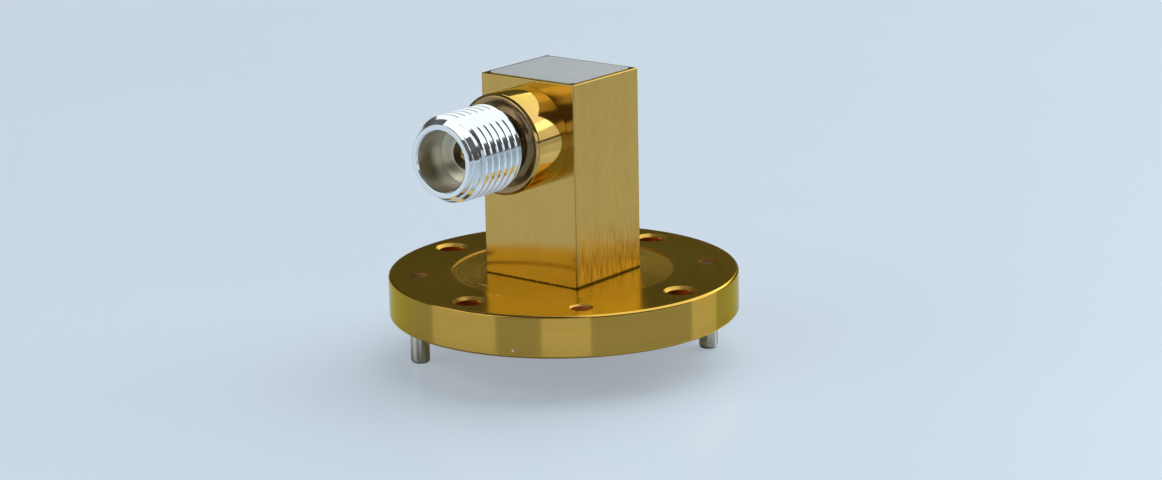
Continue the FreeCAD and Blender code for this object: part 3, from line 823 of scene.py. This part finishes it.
def thread_mesh(name, material, steps, rows, values):
    # Runs the thread tree once with these values and returns the plain mesh.
    tree = bpy.data.node_groups.get("helical_thread") or build_thread_tree()
    turns = values["Length"] / values["Pitch"] + 1
    values = {**values, "Columns": steps, "Rows": round(turns * rows), "Weld": THREAD_WELD,
              "Material": shared_material(material)}
    carrier = add_object(name, bpy.data.meshes.new(name))
    modifier = carrier.modifiers.new("thread", "NODES")
    modifier.node_group = tree
    for item in tree.interface.items_tree:
        if item.in_out == "INPUT" and item.name in values:
            modifier[item.identifier] = values[item.name]
    bake(carrier)
    mesh = carrier.data
    bpy.data.objects.remove(carrier)
    return mesh


# Pieces


def make_flange(sizes):
    rim = sizes.radius
    top = sizes.thickness
    edge = sizes.edge_break
    floor = top - sizes.recess_depth
    profile = soften([
        (0.0, 0.0, 0.0),
        (rim - edge, 0.0, SMALL),
        (rim, edge, SOFT),
        (rim, top - edge, SOFT),
        (rim - edge, top, SMALL),
        (sizes.recess_radius + sizes.recess_slope, top, CRISP),
        (sizes.recess_radius, floor, CRISP),
        (0.0, floor, 0.0),
    ], 0.0, closed=False)
    piece = turned("adapter_flange", profile, upright, sizes.steps)
    drills = bmesh.new()
    below = -CUT_MARGIN
    above = top + CUT_MARGIN / 2
    screw = (sizes.screw_hole, sizes.screw_sink)
    align = (sizes.align_hole, sizes.align_sink)
    dowel = (PIN_HIGH.x - sizes.hole_circle * math.cos(math.pi / 4), 0.0)
    holes = {0: screw, 90: screw, 180: screw, 270: screw,
             -45: align, 135: align, 45: dowel, 225: dowel}
    for degrees, (radius, sink) in holes.items():
        turn = math.radians(degrees)
        middle = Vector((math.cos(turn), math.sin(turn), 0.0)) * sizes.hole_circle
        outline = [(0.0, below), (radius, below), (radius, above), (0.0, above)]
        if sink:
            outline[2:3] = [(radius, top - (sink - radius)), (sink, top), (sink, above)]
        if radius == sizes.screw_hole:
            # Room behind the thread, which is a piece of its own.
            room = sizes.screw_major + sizes.thread_room
            throat = thread_end(sizes)
            outline[1:2] = [(radius, below), (radius, sizes.lip_low), (room, sizes.lip_low),
                            (room, throat), (radius, throat)]
        lathe(drills, outline, upright, HOLE_STEPS, closed=False, centre=middle)
    close_up(drills)
    cut_away(piece, piece_from("drills", drills))
    seat = rounded_rectangle(BLOCK_HIGH.x - BLOCK_LOW.x + 2 * sizes.seat_gap,
                             BLOCK_HIGH.y - BLOCK_LOW.y + 2 * sizes.seat_gap,
                             sizes.seat_corner, steps=3)
    cut_away(piece, prism("seat", seat, top - sizes.seat_depth, above))
    guide = rounded_rectangle(sizes.guide_width, sizes.guide_height, sizes.guide_corner)
    cut_away(piece, prism("guide", guide, below, above))
    hand_over(piece, "flange_gold", "gold_flange", "flange")


def thread_end(sizes):
    # Height of the plain lip over the thread in the tapped holes.
    return sizes.thickness - (sizes.screw_sink - sizes.screw_hole) - sizes.lip_high


def make_hole_threads(sizes):
    # The thread in each tapped hole, as a thin ring that fills the room left for it.
    low = sizes.lip_low + sizes.thread_gap
    high = thread_end(sizes) - sizes.thread_gap
    outer = sizes.screw_major + sizes.thread_room - sizes.thread_gap
    thread = thread_mesh("hole_thread", "thread_gold", sizes.thread_steps, sizes.thread_rows, {
        "Pitch": sizes.screw_pitch, "Start": low, "Length": high - low,
        "Crest": sizes.screw_major, "Root": sizes.screw_hole, "Neck": sizes.screw_major,
        "Entry": sizes.screw_major, "Cone Start": high, "Cone Slope": 0.0})
    work = bmesh.new()
    for quarter in range(4):
        angle = quarter * math.pi / 2
        middle = Vector((math.cos(angle), math.sin(angle), 0.0)) * sizes.hole_circle
        ring = bmesh.new()
        ring.from_mesh(thread)
        rims = [edge for edge in ring.edges if edge.is_boundary]
        grown = bmesh.ops.extrude_edge_only(ring, edges=rims)["geom"]
        for vert in [item for item in grown if isinstance(item, bmesh.types.BMVert)]:
            turn = math.atan2(vert.co.y, vert.co.x)
            vert.co.x, vert.co.y = outer * math.cos(turn), outer * math.sin(turn)
        rims = [edge for edge in ring.edges if edge.is_boundary]
        bmesh.ops.bridge_loops(ring, edges=rims)
        bmesh.ops.translate(ring, verts=ring.verts, vec=middle)
        bmesh.ops.recalc_face_normals(ring, faces=ring.faces)
        mesh = bpy.data.meshes.new("ring")
        ring.to_mesh(mesh)
        ring.free()
        work.from_mesh(mesh)
        bpy.data.meshes.remove(mesh)
    bpy.data.meshes.remove(thread)
    hand_over(piece_from("adapter_hole_threads", work), "thread_gold", "gold_flange")


def make_dowels(sizes, circle):
    place = circle * math.cos(math.pi / 4)
    radius = PIN_HIGH.x - place
    profile = soften([
        (0.0, PIN_LOW.z, 0.0),
        (radius, PIN_LOW.z, sizes.nose_round),
        (radius, -sizes.relief_below, FINE),
        (sizes.relief_radius, -sizes.relief_below, FINE),
        (sizes.relief_radius, sizes.relief_above, FINE),
        (radius, sizes.relief_above, FINE),
        (radius, PIN_HIGH.z, sizes.top_round),
        (0.0, PIN_HIGH.z, 0.0),
    ], 0.0, closed=False, segments=8)
    for side, name in ((-1, "dowel_pin_left"), (1, "dowel_pin_right")):
        piece = turned("adapter_" + name, profile, upright, HOLE_STEPS,
                       Vector((side * place, side * place, 0.0)))
        hand_over(piece, "ground_steel", "pin_steel", name)


def make_block(sizes, flange):
    width = BLOCK_HIGH.x - BLOCK_LOW.x
    depth = BLOCK_HIGH.y - BLOCK_LOW.y
    work = bmesh.new()
    middle = (BLOCK_HIGH + BLOCK_LOW) / 2
    extent = BLOCK_HIGH - BLOCK_LOW
    bmesh.ops.create_cube(work, size=1.0, matrix=Matrix.Translation(middle)
                          @ Matrix.Diagonal((extent.x, extent.y, extent.z, 1.0)))
    soft = [edge for edge in work.edges
            if max(vert.co.z for vert in edge.verts) > BLOCK_HIGH.z - 1e-6]
    bmesh.ops.bevel(work, geom=soft, offset=sizes.edge_round, segments=4, profile=0.5,
                    affect="EDGES", clamp_overlap=True)
    piece = piece_from("adapter_block", work)
    guide = rounded_rectangle(flange.guide_width, flange.guide_height, flange.guide_corner)
    above = BLOCK_HIGH.z + CUT_MARGIN
    cut_away(piece, prism("guide", guide, BLOCK_LOW.z - CUT_MARGIN, above))
    seat = rounded_rectangle(width - 2 * sizes.cap_margin, depth - 2 * sizes.cap_margin,
                             sizes.cap_corner)
    cut_away(piece, prism("seat", seat, BLOCK_HIGH.z - sizes.cap_depth, above))
    bores = bmesh.new()
    lathe(bores, [(0.0, -depth / 2), (sizes.feed_bore, -depth / 2),
                  (sizes.feed_bore, -sizes.spigot_depth), (sizes.spigot_bore, -sizes.spigot_depth),
                  (sizes.spigot_bore, CUT_MARGIN), (0.0, CUT_MARGIN)],
          on_jack, sizes.steps, closed=False)
    close_up(bores)
    cut_away(piece, piece_from("bores", bores))
    hand_over(piece, "block_gold", "gold_block", "waveguide_block")


def make_collar(sizes, block):
    profile = soften([
        (block.feed_bore, -block.spigot_depth),
        (sizes.spigot_radius, -block.spigot_depth),
        (sizes.spigot_radius, 0.0, 0.0),
        (sizes.radius, 0.0, FINE),
        (sizes.radius, sizes.reach - sizes.edge_break, SOFT),
        (sizes.radius - sizes.edge_break, sizes.reach, SOFT),
        (sizes.recess_radius, sizes.reach, SMALL),
        (sizes.recess_radius, sizes.recess_floor, FINE),
        (sizes.tail_bore, sizes.recess_floor, FINE),
        (sizes.tail_bore, sizes.tail_floor),
        (block.feed_bore, sizes.tail_floor),
    ], FINE)
    piece = turned("adapter_collar", profile, on_jack, sizes.steps)
    hand_over(piece, "collar_gold", "gold_collar", "connector_collar")


def make_jack(sizes, collar):
    slope = (sizes.nose_radius - sizes.thread_major) / (sizes.nose_front - sizes.thread_front)
    joint = sizes.nose_front - sizes.nose_ring
    thread = thread_mesh("adapter_thread", "turned_steel", sizes.steps, sizes.rows, {
        "Pitch": sizes.thread_pitch, "Start": sizes.thread_rear,
        "Length": joint - sizes.thread_rear, "Crest": sizes.thread_major,
        "Root": sizes.thread_minor, "Neck": sizes.neck_radius, "Entry": sizes.thread_entry,
        "Cone Start": sizes.thread_front, "Cone Slope": slope})
    work = bmesh.new()
    work.from_mesh(thread)
    bpy.data.meshes.remove(thread)
    for vert in work.verts:
        radius = math.hypot(vert.co.x, vert.co.y)
        vert.co = on_jack(radius, vert.co.z, math.atan2(vert.co.y, vert.co.x))
    joint_radius = sizes.thread_major + slope * (joint - sizes.thread_front)
    mouth = sizes.mouth_radius
    profile = soften([
        (joint_radius, joint),
        (sizes.nose_radius, sizes.nose_front, SOFT),
        (mouth + sizes.mouth_break, sizes.nose_front, SMALL),
        (mouth, sizes.nose_front - sizes.mouth_break, SMALL),
        (mouth, sizes.mouth_floor, sizes.mouth_fillet),
        (sizes.front_hole, sizes.mouth_floor, SMALL),
        (sizes.front_hole, sizes.bead_front),
        (sizes.bead_bore, sizes.bead_front),
        (sizes.bead_bore, collar.tail_floor),
        (sizes.tail_radius, collar.tail_floor),
        (sizes.tail_radius, collar.recess_floor),
        (sizes.neck_radius, collar.recess_floor),
        (sizes.neck_radius, sizes.thread_rear),
    ], 0.0, closed=False)
    lathe(work, profile, on_jack, sizes.steps, closed=False)
    close_up(work, THREAD_WELD)
    open_edges = sum(not edge.is_manifold for edge in work.edges)
    if open_edges:
        raise RuntimeError(f"jack: {open_edges} open edges")
    hand_over(piece_from("adapter_jack", work), "turned_steel", "jack_steel", "jack_shell")


# Stage


def aim_camera(stage):
    azimuth, elevation, roll = stage.azimuth, stage.elevation, stage.roll
    back = Vector((math.sin(azimuth) * math.cos(elevation),
                   -math.cos(azimuth) * math.cos(elevation), math.sin(elevation)))
    right = Vector((math.cos(azimuth), math.sin(azimuth), 0.0))
    up = back.cross(right)
    leaned = right * math.cos(roll) + up * math.sin(roll)
    upward = up * math.cos(roll) - right * math.sin(roll)
    camera_data = bpy.data.cameras.new("camera")
    camera_data.sensor_width = 36.0
    camera_data.sensor_fit = "HORIZONTAL"
    camera_data.lens = stage.lens
    camera_data.clip_start = 0.01
    camera_data.clip_end = 10.0
    camera = add_object("camera", camera_data)
    place = back * stage.distance - leaned * stage.aim_right - upward * stage.aim_up
    turn = Matrix((leaned, upward, back)).transposed().to_4x4()
    camera.matrix_world = Matrix.Translation(place) @ turn
    bpy.context.scene.camera = camera


def floor_material(name, colour, lift):
    # Diffuse near the object, where its shadow falls, and plain pale further out.
    tree, shader = new_material(name, metallic=0.0)
    place = put(tree, "ShaderNodeTexCoord").outputs["Object"]
    cloud = noise(tree, place, 25.0, 3.0)
    tone = blend(tree, cloud, scaled(colour, 1.02), scaled(colour, 0.97))
    tree.links.new(tone, shader.inputs["Base Color"])
    path = put(tree, "ShaderNodeLightPath")
    camera = path.outputs["Is Camera Ray"]
    tree.links.new(pick(tree, camera, 0.08, 0.3), shader.inputs["Roughness"])
    tree.links.new(pick(tree, camera, 0.8, 0.25), shader.inputs["Specular IOR Level"])
    far = spread(tree, length_of(tree, place), 0.05, 0.3)
    seen = number(tree, "ADD", camera, path.outputs["Is Glossy Ray"], clamp=True)
    plain = number(tree, "MAXIMUM", times(tree, far, seen), times(tree, camera, lift))
    pale = put(tree, "ShaderNodeEmission", None, {"Color": scaled(colour, 0.95), "Strength": 1.0})
    mixed = put(tree, "ShaderNodeMixShader", None, {
        0: plain, 1: shader.outputs[0], 2: pale.outputs[0]})
    tree.links.new(mixed.outputs[0], tree.nodes["Material Output"].inputs["Surface"])


def light_world(stage, colours):
    world = bpy.data.worlds.new("room")
    bpy.context.scene.world = world
    world.use_nodes = True
    tree = world.node_tree
    upward = parts_of(tree, put(tree, "ShaderNodeTexCoord").outputs["Generated"])[2]
    rise = spread(tree, upward, 0.2, 0.5, stage.sky_low, stage.sky_middle)
    fall = spread(tree, upward, 0.65, 0.85, 0.0, stage.sky_middle - stage.sky_high)
    level = number(tree, "SUBTRACT", rise, fall)
    height = spread(tree, upward, 0.1, 0.6)
    air = blend(tree, height, scaled(colours.room, 1.0), scaled(colours.overhead, 1.0))
    room = put(tree, "ShaderNodeBackground", None, {"Color": air, "Strength": level})
    backdrop = put(tree, "ShaderNodeBackground", None, {"Color": scaled(colours.floor, 0.97),
                                                        "Strength": 1.0})
    path = put(tree, "ShaderNodeLightPath")
    mixed = put(tree, "ShaderNodeMixShader", None, {
        0: path.outputs["Is Camera Ray"], 1: room.outputs[0], 2: backdrop.outputs[0]})
    tree.links.new(mixed.outputs[0], tree.nodes["World Output"].inputs["Surface"])


def add_softbox(name, azimuth, elevation, distance, width, height, brightness, colour):
    # A soft rectangle that looks at the object. A brightness of 1 shows as white in a mirror.
    lamp = bpy.data.lights.new(name, "AREA")
    lamp.shape = "RECTANGLE"
    lamp.size = width
    lamp.size_y = height
    lamp.energy = brightness * math.pi * width * height
    lamp.color = colour
    lamp_object = add_object(name, lamp)
    turn, rise = math.radians(azimuth), math.radians(elevation)
    outward = Vector((math.cos(turn) * math.cos(rise), math.sin(turn) * math.cos(rise),
                      math.sin(rise)))
    lamp_object.location = outward * distance
    lamp_object.rotation_euler = outward.to_track_quat("Z", "Y").to_euler()


def make_stage(stage, colours):
    work = bmesh.new()
    bmesh.ops.create_grid(work, x_segments=1, y_segments=1, size=1.0,
                          matrix=Matrix.Translation((0.0, 0.0, CAD_LOW.z)))
    floor = piece_from("floor", work)
    floor.data.materials.append(shared_material("pale_floor"))
    lamp = colours.lamp
    add_softbox("top_lamp", 75.0, 57.0, 0.55, 0.85, 0.85, stage.top_glow, lamp)
    add_softbox("back_panel", 95.0, 27.0, 0.45, 0.3, 0.14, stage.back_glow, lamp)
    add_softbox("left_panel", -121.0, 27.0, 0.44, 0.4, 0.36, stage.side_glow, lamp)
    add_softbox("right_panel", 52.0, 17.0, 0.44, 0.2, 0.2, stage.side_glow, lamp)
    add_softbox("front_panel", -50.5, 11.5, 0.42, 0.23, 0.1, stage.front_glow, lamp)
    add_softbox("high_panel", -93.0, 40.0, 0.44, 0.29, 0.085, stage.side_glow, lamp)
    light_world(stage, colours)
    aim_camera(stage)
    settings = bpy.context.scene.view_settings
    settings.view_transform = "Standard"


# Operators


class ADAPTER_OT_flange(Operator):
    """Turn the gold flange and drill its holes"""
    bl_idname = "adapter.flange"
    bl_label = "Flange"

    def execute(self, context):
        make_flange(context.scene.adapter_flange)
        make_hole_threads(context.scene.adapter_flange)
        return {"FINISHED"}


class ADAPTER_OT_dowels(Operator):
    """Turn the two dowel pins"""
    bl_idname = "adapter.dowels"
    bl_label = "Dowel pins"

    def execute(self, context):
        make_dowels(context.scene.adapter_dowels, context.scene.adapter_flange.hole_circle)
        return {"FINISHED"}


class ADAPTER_OT_block(Operator):
    """Make the upright gold block"""
    bl_idname = "adapter.block"
    bl_label = "Block"

    def execute(self, context):
        make_block(context.scene.adapter_block, context.scene.adapter_flange)
        return {"FINISHED"}


class ADAPTER_OT_end_cap(Operator):
    """Finish the plain metal cap on the block's top"""
    bl_idname = "adapter.end_cap"
    bl_label = "End cap"

    def execute(self, context):
        coat("end_cap", "satin_cap")
        return {"FINISHED"}


class ADAPTER_OT_collar(Operator):
    """Turn the gold collar"""
    bl_idname = "adapter.collar"
    bl_label = "Collar"

    def execute(self, context):
        make_collar(context.scene.adapter_collar, context.scene.adapter_block)
        return {"FINISHED"}


class ADAPTER_OT_jack(Operator):
    """Turn the steel jack and cut its thread"""
    bl_idname = "adapter.jack"
    bl_label = "Jack"

    def execute(self, context):
        make_jack(context.scene.adapter_jack, context.scene.adapter_collar)
        return {"FINISHED"}


class ADAPTER_OT_inner_line(Operator):
    """Finish the contact, beads, sleeve and probe inside the jack"""
    bl_idname = "adapter.inner_line"
    bl_label = "Inner line"

    def execute(self, context):
        for node in ("centre_contact", "probe_pin", "probe_tip"):
            coat(node, "contact_plating")
        for node in ("support_bead", "feed_bead"):
            coat(node, "machined_plastic")
        coat("line_sleeve", "collar_gold")
        return {"FINISHED"}


class ADAPTER_OT_stage(Operator):
    """Set the pale floor, the soft light and the camera"""
    bl_idname = "adapter.stage"
    bl_label = "Stage"

    def execute(self, context):
        make_stage(context.scene.adapter_stage, context.scene.adapter_colours)
        return {"FINISHED"}


class ADAPTER_PT_pieces(Panel):
    """Lists the adapter's pieces and their sizes"""
    bl_idname = "ADAPTER_PT_pieces"
    bl_label = "Waveguide adapter"
    bl_space_type = "VIEW_3D"
    bl_region_type = "UI"
    bl_category = "Adapter"

    def draw(self, context):
        for operator in OPERATORS:
            self.layout.operator(operator.bl_idname)
        for name in SETTINGS:
            box = self.layout.box()
            group = getattr(context.scene, name)
            for prop in group.bl_rna.properties:
                if not prop.is_readonly and prop.identifier != "name":
                    box.prop(group, prop.identifier)


SETTINGS = {
    "adapter_flange": FlangeSizes,
    "adapter_dowels": DowelSizes,
    "adapter_block": BlockSizes,
    "adapter_collar": CollarSizes,
    "adapter_jack": JackSizes,
    "adapter_colours": Colours,
    "adapter_stage": StageSettings,
}
OPERATORS = (ADAPTER_OT_flange, ADAPTER_OT_dowels, ADAPTER_OT_block, ADAPTER_OT_end_cap,
             ADAPTER_OT_collar, ADAPTER_OT_jack, ADAPTER_OT_inner_line, ADAPTER_OT_stage)


def register():
    for group in SETTINGS.values():
        bpy.utils.register_class(group)
    for operator in OPERATORS:
        bpy.utils.register_class(operator)
    bpy.utils.register_class(ADAPTER_PT_pieces)
    for name, group in SETTINGS.items():
        setattr(bpy.types.Scene, name, PointerProperty(type=group))


def unregister():
    for name in SETTINGS:
        delattr(bpy.types.Scene, name)
    bpy.utils.unregister_class(ADAPTER_PT_pieces)
    for operator in reversed(OPERATORS):
        bpy.utils.unregister_class(operator)
    for group in reversed(SETTINGS.values()):
        bpy.utils.unregister_class(group)


def main():
    register()
    bpy.ops.adapter.flange()
    bpy.ops.adapter.dowels()
    bpy.ops.adapter.block()
    bpy.ops.adapter.end_cap()
    bpy.ops.adapter.collar()
    bpy.ops.adapter.jack()
    bpy.ops.adapter.inner_line()
    bpy.ops.adapter.stage()


if __name__ == "__main__":
    main()
